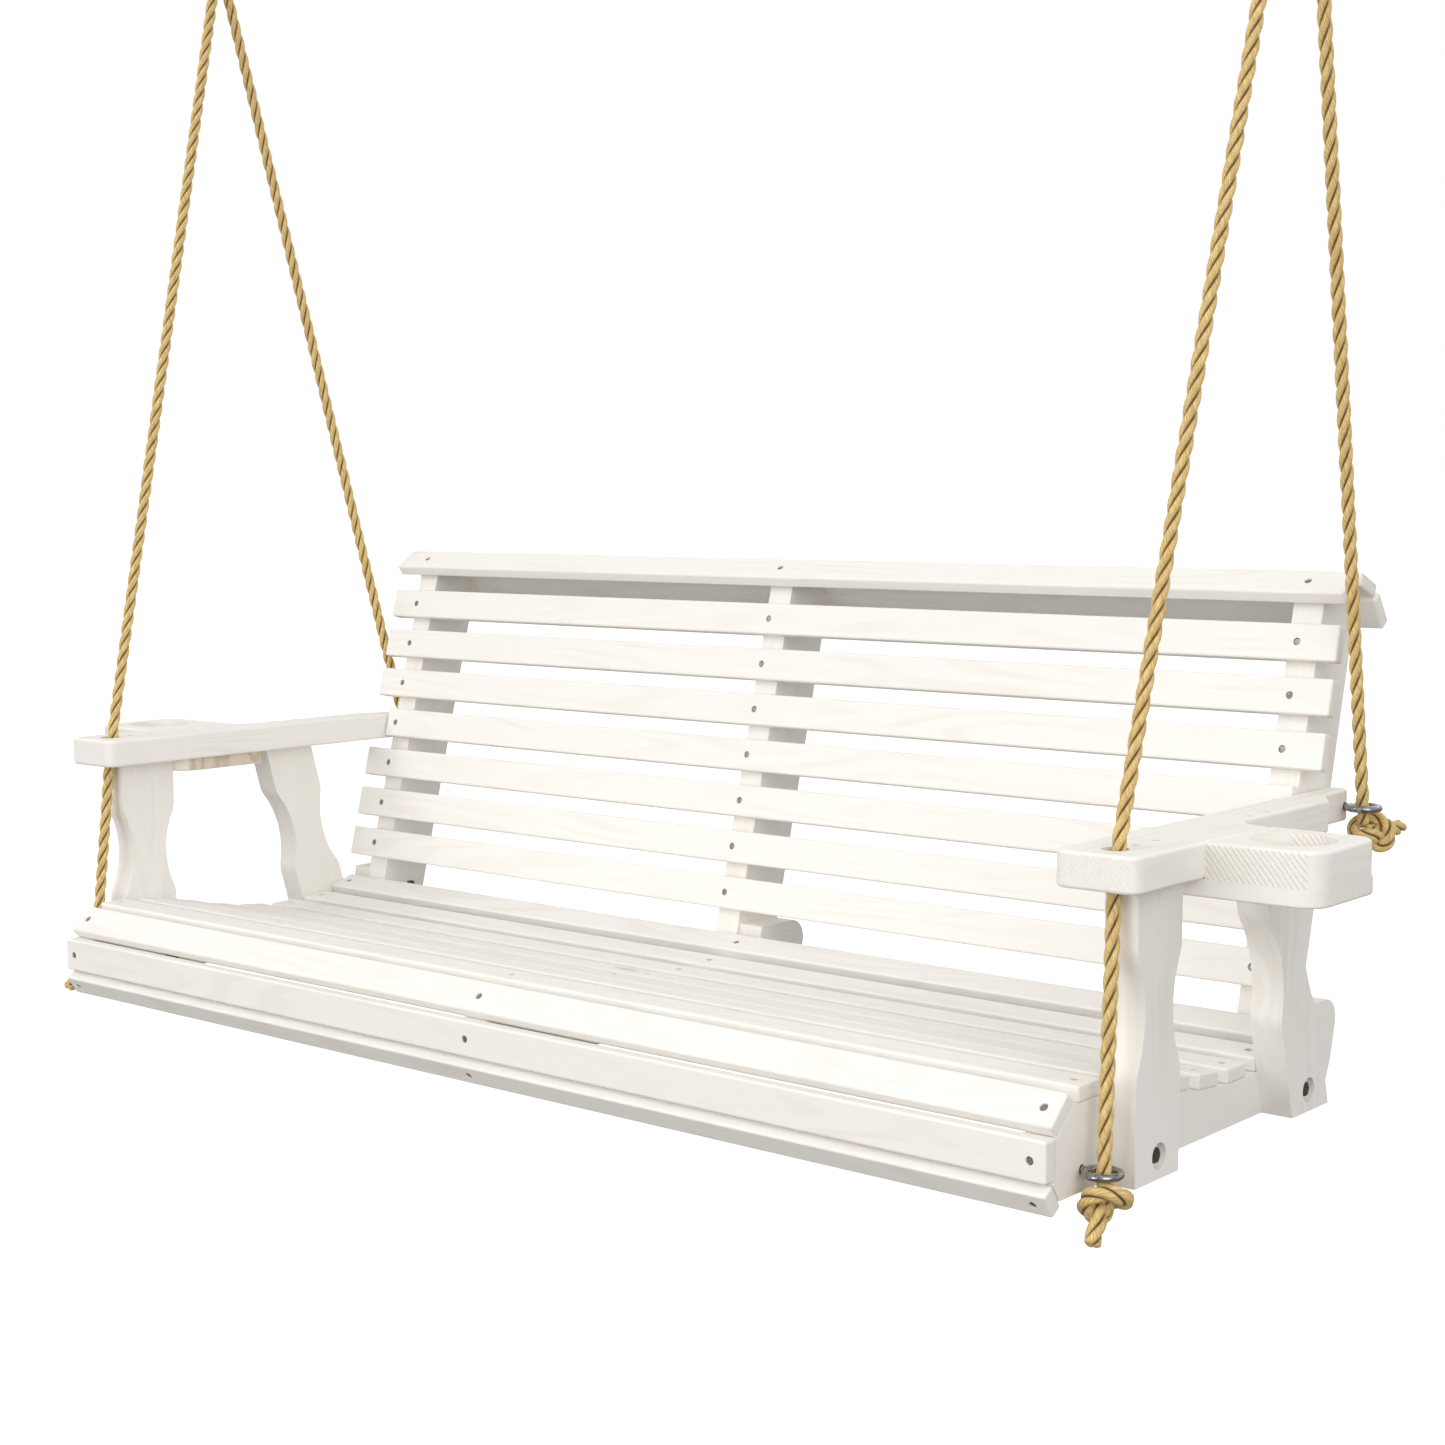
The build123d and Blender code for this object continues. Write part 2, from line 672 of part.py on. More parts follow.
for side, sign in SIDES.items():
    crown = (sign * HANG_X, 0, CROWN_Z)
    with BuildPart() as thimble:
        with BuildSketch(Plane(origin=crown, x_dir=(1, 0, 0), z_dir=(0, -1, 0))):
            with BuildLine():
                Polyline(*channel, close=True)
            make_face()
        revolve(axis=Axis(crown, (1, 0, 0)), revolution_arc=THIMBLE_ARC)
    with BuildPart() as centred:
        add(thimble.part.rotate(Axis(crown, (1, 0, 0)), -THIMBLE_ARC / 2))
    keep(centred, f"thimble_{side}")


# ================================================================== ropes
# One rope on each side: from the knot under the front eye, up through the arm, over the
# thimble, and down to the knot under the rear eye. The seizing holds its two legs together.
ROPE_CROWN = THIMBLE_IN + THIMBLE_WALL + ROPE_R + THIMBLE_PLAY
THROAT_Z = -104.0
THROAT_Y = 6.0
SHOULDER_Z = -52.0
LONG_BEND = 80.0
HOLE_BEND = 60.0


def wood(x, y, z):
    """A point given in the woodwork's y and z, in the model's frame."""
    return (x, ARM_Y + y, ARM_Z + z)


ROUTE = [
    wood(841.0, 5.2, -308.0),
    wood(ROPE_HOLE[0], ROPE_HOLE[1], HALF_BOARD),
    (HANG_X, -THROAT_Y, THROAT_Z),
    (HANG_X, -ROPE_CROWN, SHOULDER_Z),
    (HANG_X, -ROPE_CROWN, CROWN_Z + ROPE_CROWN),
    (HANG_X, ROPE_CROWN, CROWN_Z + ROPE_CROWN),
    (HANG_X, ROPE_CROWN, SHOULDER_Z),
    (HANG_X, THROAT_Y, THROAT_Z),
    wood(829.0, 606.0, 0.0),
]
CROWN_BEND = ROPE_CROWN - 0.1             # leaves a short straight between the two arcs
BENDS = [HOLE_BEND, LONG_BEND, LONG_BEND, CROWN_BEND, CROWN_BEND, LONG_BEND, LONG_BEND]

for side, sign in SIDES.items():
    with BuildPart() as rope:
        with BuildLine() as route:
            FilletPolyline(*[(sign * x, y, z) for x, y, z in ROUTE], radius=BENDS)
        with BuildSketch(Plane(origin=route.line @ 0, z_dir=route.line % 0)):
            Circle(ROPE_R)
        sweep()
    keep(rope, f"rope_{side}")
    length = sum(edge.length for edge in route.line.edges())
    section = pi * ROPE_R ** 2
    print(f"rope_{side}: length {length:.1f}, bend radii {BENDS}")
    print(f"rope_{side}: volume {rope.part.volume:.0f}, section x length {section * length:.0f}")

# ------------------------------------------------------------------ seizings
SEIZING_HALF_X = ROPE_R + 3.0
SEIZING_HALF_Y = 23.0
SEIZING_TOP = -86.0
SEIZING_TALL = 36.0
SEIZING_EDGE = 2.5

for side, sign in SIDES.items():
    with BuildPart() as seizing:
        with BuildSketch(Plane.XY.offset(SEIZING_TOP - SEIZING_TALL)):
            with Locations((sign * HANG_X, 0)):
                SlotOverall(2 * SEIZING_HALF_Y, 2 * SEIZING_HALF_X, rotation=90)
        extrude(amount=SEIZING_TALL)
        fillet(seizing.faces().filter_by(Axis.Z).edges(), SEIZING_EDGE)
    keep(seizing, f"seizing_{side}")


# ------------------------------------------------------------------ knots
FRONT_KNOT = (843.5, 8.0, -309.0)
REAR_KNOT = (832.0, 622.0, -11.0)
KNOT_WIDE = 27.0
KNOT_TALL = 21.0
KNOT_POLE = 10.0                          # radius of the flat at its top and bottom
FRONT_TAILS = {"left": (832.0, -46.0, -312.0), "right": (846.0, -24.0, -345.0)}
REAR_TAIL = (836.0, 694.0, -14.0)


def make_knot(sign, centre, tail_end):
    """Outer shape of a stopper knot: a squat ball, with the rope's tail standing out."""
    x, y, z = wood(*centre)
    middle = Vector(sign * x, y, z)
    with BuildPart() as knot:
        with BuildSketch(Plane(origin=middle, x_dir=(1, 0, 0), z_dir=(0, -1, 0))):
            with BuildLine():
                ThreePointArc((KNOT_POLE, -KNOT_TALL), (KNOT_WIDE, 0), (KNOT_POLE, KNOT_TALL))
                Polyline(
                    (KNOT_POLE, KNOT_TALL), (0, KNOT_TALL), (0, -KNOT_TALL), (KNOT_POLE, -KNOT_TALL)
                )
            make_face()
        revolve(axis=Axis(middle, (0, 0, 1)))
        x, y, z = wood(*tail_end)
        tail = Vector(sign * x, y, z) - middle
        with BuildSketch(Plane(origin=middle, z_dir=tail)):
            Circle(ROPE_R)
        extrude(amount=tail.length)
    return knot


for side, sign in SIDES.items():
    keep(make_knot(sign, FRONT_KNOT, FRONT_TAILS[side]), f"knot_front_{side}")
    keep(make_knot(sign, REAR_KNOT, REAR_TAIL), f"knot_rear_{side}")
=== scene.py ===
from math import cos, pi, radians, sin, sqrt

import bpy
import numpy as np
from mathutils import Matrix, Vector


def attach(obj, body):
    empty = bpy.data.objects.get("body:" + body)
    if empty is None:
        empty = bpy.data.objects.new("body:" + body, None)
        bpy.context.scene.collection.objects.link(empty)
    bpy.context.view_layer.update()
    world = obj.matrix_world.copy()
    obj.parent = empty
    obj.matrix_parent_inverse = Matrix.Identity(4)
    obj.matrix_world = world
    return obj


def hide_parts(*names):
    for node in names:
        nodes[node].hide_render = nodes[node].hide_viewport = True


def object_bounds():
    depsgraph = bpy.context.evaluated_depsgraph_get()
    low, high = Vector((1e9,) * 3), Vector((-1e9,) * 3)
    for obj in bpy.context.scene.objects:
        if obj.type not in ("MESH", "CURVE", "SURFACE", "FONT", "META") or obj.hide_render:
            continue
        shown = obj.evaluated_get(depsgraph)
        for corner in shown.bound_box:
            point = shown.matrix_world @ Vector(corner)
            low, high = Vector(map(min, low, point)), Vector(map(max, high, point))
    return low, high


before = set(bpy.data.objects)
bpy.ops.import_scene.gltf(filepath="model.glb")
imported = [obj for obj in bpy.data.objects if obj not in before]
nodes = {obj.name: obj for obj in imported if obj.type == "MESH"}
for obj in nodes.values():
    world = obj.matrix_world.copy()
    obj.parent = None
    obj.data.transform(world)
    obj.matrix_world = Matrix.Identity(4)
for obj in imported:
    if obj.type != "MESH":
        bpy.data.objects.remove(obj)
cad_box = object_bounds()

# The looks of a porch swing that hangs by two three-strand ropes. Lengths are in metres.
# The woodwork is described level, as it was drawn, and HANG turns it as the swing hangs.
HANG = Matrix.Rotation(radians(-1.91), 4, "X")
WOOD_ORIGIN = Vector((0.0, -0.303, -1.264))   # front edge and underside of the arms


def wood(x, y, z):
    """A point given in the woodwork's own y and z."""
    return WOOD_ORIGIN + Vector((x, y, z))


# ------------------------------------------------------------------ camera
EYE = Vector((2.0002, -2.2541, -0.8710))
YAW = radians(40.12)
PITCH = radians(-5.74)
ROLL = radians(-0.17)
LENS = 58.06
SENSOR = 36.0


def make_camera():
    forward = Vector((-sin(YAW) * cos(PITCH), cos(YAW) * cos(PITCH), sin(PITCH)))
    level_right = forward.cross(Vector((0, 0, 1))).normalized()
    level_up = level_right.cross(forward)
    right = level_right * cos(ROLL) + level_up * sin(ROLL)
    up = level_up * cos(ROLL) - level_right * sin(ROLL)
    turn = Matrix((right, up, -forward)).transposed().to_4x4()
    data = bpy.data.cameras.new("camera")
    data.lens = LENS
    data.sensor_width = SENSOR
    data.clip_end = 200.0
    camera = bpy.data.objects.new("camera", data)
    camera.matrix_world = HANG @ Matrix.Translation(EYE) @ turn
    bpy.context.scene.collection.objects.link(camera)
    bpy.context.scene.camera = camera


make_camera()

# ------------------------------------------------------------------ rope sizes
ROPE = 0.016                              # diameter
LAY = 4.5 * ROPE                          # one full turn of a strand
RUN_IN = 6 * ROPE                         # extra route points stand this far from an edge
ROPE_STEP = 0.003                         # from one ring of a rope's mesh to the next
KNOT_STEP = 0.002
HANG_X = 0.879
THROAT = Vector((HANG_X, 0.006, -0.104))
SHOULDER = Vector((HANG_X, 0.0244, -0.052))
CROWN = Vector((HANG_X, 0.0244, 0.0158))
ROPE_HOLE = wood(0.831, 0.0366, 0.019)
FRONT_END = wood(0.841, 0.0052, -0.308)
REAR_END = wood(0.829, 0.606, 0.0)
FRONT_KNOT = wood(0.8435, 0.008, -0.309)
REAR_KNOT = wood(0.832, 0.622, -0.011)
FRONT_TAILS = {"left": wood(0.832, -0.046, -0.312), "right": wood(0.846, -0.024, -0.345)}
REAR_TAIL = wood(0.836, 0.694, -0.014)
SIDES = {"left": -1, "right": 1}


def to_front(point):
    return Vector((point.x, -point.y, point.z))


def towards(start, end, distance):
    """The point at that distance from start on the straight run to end."""
    return start + (end - start).normalized() * distance


ROUTE = [
    FRONT_END,
    towards(ROPE_HOLE, FRONT_END, RUN_IN),
    ROPE_HOLE,
    towards(ROPE_HOLE, to_front(THROAT), RUN_IN),
    towards(to_front(THROAT), ROPE_HOLE, RUN_IN),
    to_front(THROAT),
    to_front(SHOULDER),
    to_front(CROWN),
    CROWN,
    SHOULDER,
    THROAT,
    towards(THROAT, REAR_END, RUN_IN),
    towards(REAR_END, THROAT, RUN_IN),
    REAR_END,
]


def on_side(points, sign):
    """The points on the left or right side of the swing, turned as it hangs."""
    return [HANG @ Vector((sign * p.x, p.y, p.z)) for p in points]


def centreline(points, resolution=32):
    """Points read from the smooth NURBS line that has the given points as control points."""
    data = bpy.data.curves.new("line", "CURVE")
    data.dimensions = "3D"
    spline = data.splines.new("NURBS")
    spline.points.add(len(points) - 1)
    for control, point in zip(spline.points, points):
        control.co = (*point, 1.0)
    spline.order_u = 3
    spline.use_endpoint_u = True
    spline.resolution_u = resolution
    line = bpy.data.objects.new("line", data)
    mesh = bpy.data.meshes.new_from_object(line)
    found = np.array([v.co for v in mesh.vertices])
    bpy.data.objects.remove(line)
    bpy.data.curves.remove(data)
    bpy.data.meshes.remove(mesh)
    return found


def evenly(points, step):
    """Points at even distances along a line, and each one's distance from its start."""
    gaps = np.linalg.norm(np.diff(points, axis=0), axis=1)
    reach = np.concatenate([[0.0], np.cumsum(gaps)])
    count = max(4, int(round(reach[-1] / step)) + 1)
    at = np.linspace(0.0, reach[-1], count)
    return np.column_stack([np.interp(at, reach, points[:, k]) for k in range(3)]), at


def turning_frames(points):
    """Two directions across the line at each point, which turn as little as they can."""
    along = np.gradient(points, axis=0)
    along /= np.linalg.norm(along, axis=1)[:, None]
    across = np.zeros_like(points)
    first = np.cross(along[0], (1.0, 0.0, 0.0) if abs(along[0][0]) < 0.9 else (0.0, 1.0, 0.0))
    across[0] = first / np.linalg.norm(first)
    for k in range(1, len(points)):
        flat = across[k - 1] - along[k] * np.dot(across[k - 1], along[k])
        across[k] = flat / np.linalg.norm(flat)
    return across, np.cross(along, across)


FLATTENED = 0.30                          # how much the strands press into each other


def three_strands(radius, per_strand=8):
    """Angles and radii of the outline of three round strands pressed against each other."""
    strand = radius / (1 + 2 / sqrt(3))
    centre = radius - strand
    inner = np.linspace(-pi / 3, pi / 3, per_strand, endpoint=False)
    reach = centre * np.cos(inner) + np.sqrt(strand ** 2 - (centre * np.sin(inner)) ** 2 + 1e-12)
    reach = FLATTENED * radius + (1 - FLATTENED) * reach
    angles = np.concatenate([inner + 2 * pi * k / 3 for k in range(3)])
    return angles, np.tile(reach, 3)


CAP = ((0.0, 0.72), (0.03, 0.9), (0.1, 1.0))   # distance from the end and width, in diameters


def sweep(name, points, section, diameter, lay, step, ends=(False, False)):
    """A closed mesh of a twisted section along a line, with rounded ends where asked."""
    line, at = evenly(points, step)
    across, up = turning_frames(line)
    angles, reach = section
    width = np.ones(len(line))
    for cap, distance in ((ends[0], at), (ends[1], at[-1] - at)):
        if cap:
            width *= np.interp(distance, [d * diameter for d, _ in CAP], [w for _, w in CAP])
    twist = 2 * pi * at / lay
    turned = angles[None, :] + twist[:, None]
    radii = reach[None, :] * width[:, None]
    rings = (
        line[:, None, :]
        + across[:, None, :] * (radii * np.cos(turned))[:, :, None]
        + up[:, None, :] * (radii * np.sin(turned))[:, :, None]
    )
    count, sides = radii.shape
    vertices = np.concatenate([rings.reshape(-1, 3), line[:1], line[-1:]])
    first, last = count * sides, count * sides + 1
    faces = []
    for k in range(count - 1):
        for j in range(sides):
            n = (j + 1) % sides
            faces.append((k * sides + j, k * sides + n, (k + 1) * sides + n, (k + 1) * sides + j))
    for j in range(sides):
        n = (j + 1) % sides
        faces.append((first, n, j))
        faces.append((last, (count - 1) * sides + j, (count - 1) * sides + n))
    mesh = bpy.data.meshes.new(name)
    mesh.from_pydata(vertices.tolist(), [], faces)
    mesh.shade_smooth()
    write_lay(mesh, turned, at, reach, diameter, lay)
    piece = bpy.data.objects.new(name, mesh)
    bpy.context.scene.collection.objects.link(piece)
    return piece, line


YARN_LAY = 2.2                            # a yarn's own turn, in turns of its strand


def write_lay(mesh, turned, at, reach, diameter, lay):
    """Stores on each vertex where it is among the fibres, and how deep in a groove, which sets the
    painted shade between the strands.
    """
    fibre = turned + (2 * pi * at / (YARN_LAY * lay))[:, None]
    radius = diameter / 2
    place = np.stack([
        radius * np.cos(fibre), radius * np.sin(fibre), np.repeat(at[:, None], len(reach), 1)
    ], axis=2).reshape(-1, 3)
    place = np.concatenate([place, [[0, 0, at[0]], [0, 0, at[-1]]]])
    depth = np.tile(1 - reach / reach.max(), len(at))
    depth = np.concatenate([depth, [0.0, 0.0]])
    mesh.attributes.new("fibre", "FLOAT_VECTOR", "POINT").data.foreach_set(
        "vector", place.ravel().astype(np.float32)
    )
    mesh.attributes.new("groove", "FLOAT", "POINT").data.foreach_set(
        "value", depth.astype(np.float32)
    )


# ------------------------------------------------------------------ knots
# An overhand knot, in rope diameters: across, up, and towards its tail.
OVERHAND = [
    (0.0, 0.4, 0.0),
    (0.05, -0.5, -0.3),
    (0.35, -1.15, 0.0),
    (1.2, -0.8, 0.35),
    (0.95, 0.3, 0.95),
    (-0.3, 0.95, 0.95),
    (-1.3, 0.5, 0.1),
    (-0.85, -0.15, -1.1),
    (0.25, -0.25, -1.2),
    (0.55, -0.3, -0.3),
    (0.2, -0.65, 0.7),
]
SLACK = 1.16                              # the rope is this much thicker where it is knotted


def knot_line(centre, tail):
    """Control points of an overhand knot at centre, with the rope's end at tail."""
    out = tail - centre
    flat = Vector((out.x, out.y, 0)).normalized()
    side = flat.cross(Vector((0, 0, 1)))
    points = [
        centre + (side * a + Vector((0, 0, 1)) * b + flat * c) * ROPE for a, b, c in OVERHAND
    ]
    return points + [towards(tail, centre, 1.2 * ROPE), tail]


def make_knot(name, points, sign):
    line = centreline(on_side(points, sign))
    thick = SLACK * ROPE
    section = three_strands(thick / 2)
    knot, _ = sweep(name, line, section, thick, LAY, KNOT_STEP, ends=(True, True))
    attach(knot, "swing")
    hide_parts(name.removesuffix("_rope"))
    return knot


# ------------------------------------------------------------------ seizings
TWINE = 0.0028
TWINE_LAY = 5 * TWINE
TWINE_STEP = 0.0012
TWINE_SUNK = 0.4                          # how deep the twine beds in, as a share of itself
NARROWEST = 0.004                         # the legs are never closer to the middle than this
SEIZING_TOP = -0.0865
SEIZING_TALL = 0.035
TURN_POINTS = 16


def leg_at(z):
    """How far each leg of the rope stands from the middle at height z near the throat."""
    if z > THROAT.z:
        share = (z - THROAT.z) / (SHOULDER.z - THROAT.z)
        return THROAT.y + share * (SHOULDER.y - THROAT.y)
    share = (THROAT.z - z) / (THROAT.z - REAR_END.z)
    return THROAT.y + share * (REAR_END.y - THROAT.y)


def make_seizing(side, sign):
    """Twine wound tightly round both legs of the rope."""
    turns = int(SEIZING_TALL / TWINE)
    points = []
    for k in range(turns * TURN_POINTS + 1):
        angle = 2 * pi * k / TURN_POINTS
        z = SEIZING_TOP - TWINE / 2 - (SEIZING_TALL - TWINE) * k / (turns * TURN_POINTS)
        around = ROPE / 2 + TWINE * TWINE_SUNK
        y = max(leg_at(z) - TWINE, NARROWEST)
        shift = y if cos(angle) > 0 else -y
        points.append(Vector((HANG_X + around * sin(angle), shift + around * cos(angle), z)))
    line = centreline(on_side(points, sign), resolution=4)
    section = three_strands(TWINE / 2, per_strand=4)
    seizing, _ = sweep(
        f"seizing_{side}_twine", line, section, TWINE, TWINE_LAY, TWINE_STEP, ends=(True, True)
    )
    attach(seizing, "swing")
    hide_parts(f"seizing_{side}")
    return seizing


# ------------------------------------------------------------------ ropes
def make_rope(side, sign):
    line = centreline(on_side(ROUTE, sign))
    section = three_strands(ROPE / 2)
    rope, path = sweep(f"rope_{side}_strands", line, section, ROPE, LAY, ROPE_STEP)
    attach(rope, "swing")
    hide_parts(f"rope_{side}")
    on_it = [
        make_knot(f"knot_front_{side}_rope", knot_line(FRONT_KNOT, FRONT_TAILS[side]), sign),
        make_knot(f"knot_rear_{side}_rope", knot_line(REAR_KNOT, REAR_TAIL), sign),
        make_seizing(side, sign),
    ]
    return [rope, *on_it]


rope_pieces = [piece for side, sign in SIDES.items() for piece in make_rope(side, sign)]


# ------------------------------------------------------------------ shader helpers
def new_material(name, roughness, metallic=0.0):
    material = bpy.data.materials.new(name)
    material.use_nodes = True
    shader = material.node_tree.nodes["Principled BSDF"]
    shader.inputs["Roughness"].default_value = roughness
    shader.inputs["Metallic"].default_value = metallic
    return material, material.node_tree, shader


def add(tree, kind, inputs=None, **settings):
    """Adds a node, with numbers set on its sockets and other nodes' outputs joined to them."""
    node = tree.nodes.new(kind)
    for key, value in settings.items():
        setattr(node, key, value)
    for socket, value in (inputs or {}).items():
        if isinstance(value, bpy.types.NodeSocket):
            tree.links.new(value, node.inputs[socket])
        else:
            node.inputs[socket].default_value = value
    return node


def maths(tree, operation, a, b=0.0):
    return add(tree, "ShaderNodeMath", {0: a, 1: b}, operation=operation).outputs[0]


def blended(tree, share, a, b):
    """Colour a turning into colour b by share."""
    mix = add(tree, "ShaderNodeMix", {0: share, 6: a, 7: b}, data_type="RGBA")
    return mix.outputs[2]


def ranged(tree, value, low, high, to_low=0.0, to_high=1.0):
    node = add(
        tree,
        "ShaderNodeMapRange",
        {"Value": value, "From Min": low, "From Max": high, "To Min": to_low, "To Max": to_high},
        interpolation_type="SMOOTHSTEP",
    )
    return node.outputs[0]


def noise(tree, vector, scale, detail=3.0, roughness=0.5):
    node = add(
        tree,
        "ShaderNodeTexNoise",
        {"Vector": vector, "Scale": scale, "Detail": detail, "Roughness": roughness},
    )
    return node.outputs["Fac"]


def dotted(tree, vector, axis):
    node = add(tree, "ShaderNodeVectorMath", {0: vector, 1: axis}, operation="DOT_PRODUCT")
    return node.outputs["Value"]


def stretched(tree, directions, long, wide):
    """A place in the wood, scaled by long along the grain and by wide across it."""
    scaled = [maths(tree, "MULTIPLY", d, scale) for d, scale in zip(directions, (long, wide, wide))]
    return add(tree, "ShaderNodeCombineXYZ", dict(enumerate(scaled))).outputs[0]


def bump(tree, shader, height, distance, strength=1.0):
    inputs = {"Height": height, "Distance": distance, "Strength": strength}
    normal = add(tree, "ShaderNodeBump", inputs).outputs[0]
    tree.links.new(normal, shader.inputs["Normal"])


# ------------------------------------------------------------------ white-stained pine
STAIN = (0.90, 0.875, 0.83, 1)
STAIN_THIN = (0.76, 0.69, 0.58, 1)       # where the wood shows through the stain
KNOT_TINT = (0.50, 0.38, 0.25, 1)
END_TINT = (0.66, 0.58, 0.49, 1)
BARE_END = (0.74, 0.66, 0.54, 1)
# Patterns in the wood: how many per metre along the grain, and across it.
KNOT_CELLS = (3.2, 9.0)
RING_FIELD = (1.1, 11.0)
FIBRES = (9.0, 620.0)
KNOTLESS = 0.86                           # this share of the cells holds no knot
KNOT_EDGE = (0.085, 0.05)                 # a knot fades in between these reaches in its cell
KNOT_PULL = 0.22                          # how much the rings swell round a knot
KNOT_SHOWS = 0.55
RING_COUNT = 95.0
SAW_STEP = 0.0065                         # from one saw mark to the next
SAW_SLANT = -0.8
SAW_WANDER = 3.0
GRAIN_DEPTH = 0.00035


def knots_in(tree, directions):
    """The knots, and the wood round them: a few cells of a coarse pattern hold one."""
    cells = stretched(tree, directions, *KNOT_CELLS)
    cell = add(tree, "ShaderNodeTexVoronoi", {"Vector": cells, "Scale": 1.0, "Randomness": 1.0})
    chosen = add(tree, "ShaderNodeSeparateColor", {0: cell.outputs["Color"]}).outputs[0]
    has_knot = maths(tree, "GREATER_THAN", chosen, KNOTLESS)
    distance = cell.outputs["Distance"]
    knot = maths(tree, "MULTIPLY", has_knot, ranged(tree, distance, *KNOT_EDGE))
    near_knot = maths(tree, "MULTIPLY", has_knot, ranged(tree, distance, 0.30, 0.0))
    return knot, near_knot


def rings_in(tree, directions, near_knot):
    """Growth rings: the contour lines of a field drawn out along the grain."""
    field = stretched(tree, directions, *RING_FIELD)
    height = noise(tree, field, 1.0, detail=2.0, roughness=0.35)
    height = maths(tree, "ADD", height, maths(tree, "MULTIPLY", near_knot, KNOT_PULL))
    rings = maths(tree, "SINE", maths(tree, "MULTIPLY", height, RING_COUNT))
    return ranged(tree, rings, -0.2, 1.0)


def saw_marks(tree, place, directions, blotch, sawn):
    """How rough a sawn end is: slanted saw marks, and speckles."""
    _, across, deep = directions
    slant = maths(tree, "ADD", across, maths(tree, "MULTIPLY", deep, SAW_SLANT))
    phase = maths(tree, "ADD", maths(tree, "MULTIPLY", slant, 2 * pi / SAW_STEP),
                  maths(tree, "MULTIPLY", blotch, SAW_WANDER))
    marks = ranged(tree, maths(tree, "SINE", phase), 0.2, 1.0, 0.0, sawn)
    speckle = noise(tree, place, 420.0, detail=3.0, roughness=0.7)
    return maths(tree, "ADD", marks, ranged(tree, speckle, 0.4, 0.7, 0.0, 0.25))


def make_pine(name, grain, warmth=0.0, sawn=0.12, end_stain=STAIN, end_rings=0.0):
    """White-stained pine with its grain along the given direction, its ends more or less sawn."""
    material, tree, shader = new_material(name, roughness=0.55)
    grain = (HANG.to_3x3() @ Vector(grain)).normalized()
    level = Vector((0, 0, 1)) if abs(grain.z) < 0.7 else Vector((0, 1, 0))
    side = grain.cross(level).normalized()
    here = add(tree, "ShaderNodeTexCoord")
    place = here.outputs["Object"]
    directions = [dotted(tree, place, tuple(v)) for v in (grain, side, grain.cross(side))]

    knot, near_knot = knots_in(tree, directions)
    rings = rings_in(tree, directions, near_knot)
    fibres = noise(tree, stretched(tree, directions, *FIBRES), 1.0, detail=4.0, roughness=0.65)
    blotch = ranged(tree, noise(tree, place, 7.0, detail=4.0), 0.35, 0.7)

    # the stain is thin over rings and fibres
    thin = maths(tree, "MULTIPLY", rings, ranged(tree, blotch, 0.0, 1.0, 0.04, 0.24))
    thin = maths(tree, "ADD", thin, ranged(tree, fibres, 0.5, 0.8, 0.0, 0.22))
    thin = maths(tree, "ADD", thin, warmth)
    face = blended(tree, thin, STAIN, STAIN_THIN)
    face = blended(tree, maths(tree, "MULTIPLY", knot, KNOT_SHOWS), face, KNOT_TINT)

    rough_end = saw_marks(tree, place, directions, blotch, sawn)
    end = blended(tree, rough_end, end_stain, END_TINT)
    end = blended(tree, maths(tree, "MULTIPLY", rings, end_rings), end, KNOT_TINT)
    facing = maths(tree, "ABSOLUTE", dotted(tree, here.outputs["Normal"], tuple(grain)))
    is_end = ranged(tree, facing, 0.80, 0.92)
    tree.links.new(blended(tree, is_end, face, end), shader.inputs["Base Color"])

    rough = ranged(tree, fibres, 0.3, 0.8, 0.46, 0.66)
    tree.links.new(rough, shader.inputs["Roughness"])
    relief = maths(tree, "ADD", maths(tree, "MULTIPLY", fibres, 0.7),
                   maths(tree, "MULTIPLY", rings, -0.25))
    relief = maths(tree, "SUBTRACT", relief, maths(tree, "MULTIPLY", is_end, rough_end))
    bump(tree, shader, relief, distance=GRAIN_DEPTH, strength=0.6)
    return material


BACK_LEAN = radians(14.67)
pine_across = make_pine("pine_across", (1, 0, 0))
pine_warm = make_pine("pine_warm", (1, 0, 0), warmth=0.10)
pine_bare_ends = make_pine(
    "pine_bare_ends", (1, 0, 0), warmth=0.22, end_stain=BARE_END, end_rings=0.6
)
pine_deep = make_pine("pine_deep", (0, 1, 0))
pine_sawn = make_pine("pine_sawn", (0, 1, 0), sawn=0.6)
pine_upright = make_pine("pine_upright", (0, 0, 1))
pine_leaning = make_pine("pine_leaning", (0, sin(BACK_LEAN), cos(BACK_LEAN)))


# ------------------------------------------------------------------ manila rope
FIBRE_LIGHT = (0.95, 0.71, 0.29, 1)
FIBRE = (0.55, 0.34, 0.11, 1)
# dark yarns, and also the painted shade laid into the grooves between the strands
FIBRE_DARK_AND_GROOVE_SHADE = (0.11, 0.055, 0.014, 1)


